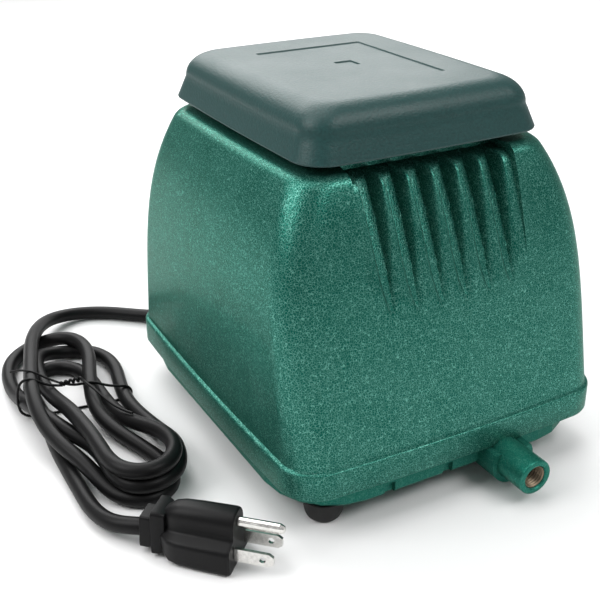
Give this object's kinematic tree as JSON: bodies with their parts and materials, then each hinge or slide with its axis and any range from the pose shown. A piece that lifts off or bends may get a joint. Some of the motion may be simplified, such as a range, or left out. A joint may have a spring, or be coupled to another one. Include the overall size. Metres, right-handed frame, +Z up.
{
  "type": "diaphragm air pump",
  "caption": "Mains air pump: domed cast housing with a louvred front, lift-off filter cover, cast base with outlet tube and rubber feet, and a tied cord with plug.",
  "frame": {"origin": "on the floor under the middle of the box around the pump and its outlet tube, the cord left out", "axes": "+Z up, -Y out of the louvred front and the outlet tube, +Y to the back where the cord leaves, +X to the right seen from the front"},
  "size_m": [0.2453, 0.2912, 0.1803],
  "materials": {
    "hammer_green": "green hammertone enamel, semi-gloss",
    "outlet_green": "green enamel, semi-gloss",
    "base_green": "grey-green cast enamel, satin",
    "cover_plastic": "dark grey-green, fine pebble grain",
    "filter_felt": "open felt",
    "rubber": "matte black",
    "brass": "threaded, dull",
    "steel": "zinc plated",
    "aluminium": "die cast",
    "core_steel": "stacked laminations",
    "coil_tape": "amber winding tape",
    "magnet": "dark ferrite",
    "black_plastic": "moulded",
    "cord_black": "soft black PVC, slight sheen",
    "nickel": "bright nickel"
  },
  "bodies": {
    "pump": {"upper_housing": "hammer_green", "outlet_tube": "outlet_green", "filter_pad": "filter_felt", "base_casting": "base_green", "housing_gasket": "rubber", "cord_gland": "rubber", "foot_front_left": "rubber", "foot_front_right": "rubber", "foot_back_left": "rubber", "foot_back_right": "rubber", "isolator_front_left": "rubber", "isolator_front_right": "rubber", "isolator_back_left": "rubber", "isolator_back_right": "rubber", "air_hose_front": "rubber", "air_hose_back": "rubber", "diaphragm_front": "rubber", "diaphragm_back": "rubber", "outlet_thread": "brass", "foot_screw_front_left": "steel", "foot_screw_front_right": "steel", "foot_screw_back_left": "steel", "foot_screw_back_right": "steel", "chamber_lid": "aluminium", "motor_frame": "aluminium", "valve_box_front": "aluminium", "valve_box_back": "aluminium", "valve_cover_front": "aluminium", "valve_cover_back": "aluminium", "stator_core_left": "core_steel", "stator_core_right": "core_steel", "coil_left": "coil_tape", "coil_right": "coil_tape", "terminal_block": "black_plastic", "coil_wire_outer": "cord_black", "coil_wire_inner": "cord_black", "cord_lead": "cord_black", "cord_hank": "cord_black", "cord_tie": "cord_black", "cord_tail": "cord_black", "plug_body": "cord_black", "plug_blade_left": "nickel", "plug_blade_right": "nickel", "plug_ground_pin": "nickel"},
    "cover": {"filter_cover": "cover_plastic"},
    "armature": {"armature_rod": "aluminium", "magnet_front": "magnet", "magnet_back": "magnet", "clamp_plate_front": "steel", "clamp_plate_back": "steel", "rod_nut_front": "steel", "rod_nut_back": "steel"},
    "intake_flap_front": {"intake_flap_front": "rubber"},
    "intake_flap_back": {"intake_flap_back": "rubber"},
    "exhaust_flap_front": {"exhaust_flap_front": "rubber"},
    "exhaust_flap_back": {"exhaust_flap_back": "rubber"}
  },
  "joints": [
    {"name": "cover_lift", "type": "slide", "parent": "pump", "child": "cover", "axis": [0, 0, 1], "range_m": [0, 0.06]},
    {"name": "armature_slide", "type": "slide", "parent": "pump", "child": "armature", "axis": [0, 1, 0], "range_m": [-0.003, 0.003], "stiffness_N_per_m": 4000, "deforming": ["diaphragm_front", "diaphragm_back"]},
    {"name": "intake_flap_front_hinge", "type": "hinge", "parent": "pump", "child": "intake_flap_front", "pos_m": [0, -0.0481, 0.097], "axis": [1, 0, 0], "range_deg": [0, 12], "stiffness_Nm_per_rad": 0.0002},
    {"name": "intake_flap_back_hinge", "type": "hinge", "parent": "pump", "child": "intake_flap_back", "pos_m": [0, 0.0785, 0.097], "axis": [-1, 0, 0], "range_deg": [0, 12], "stiffness_Nm_per_rad": 0.0002},
    {"name": "exhaust_flap_front_hinge", "type": "hinge", "parent": "pump", "child": "exhaust_flap_front", "pos_m": [0, -0.0517, 0.068], "axis": [-1, 0, 0], "range_deg": [0, 12], "stiffness_Nm_per_rad": 0.0002},
    {"name": "exhaust_flap_back_hinge", "type": "hinge", "parent": "pump", "child": "exhaust_flap_back", "pos_m": [0, 0.0821, 0.068], "axis": [1, 0, 0], "range_deg": [0, 12], "stiffness_Nm_per_rad": 0.0002}
  ]
}
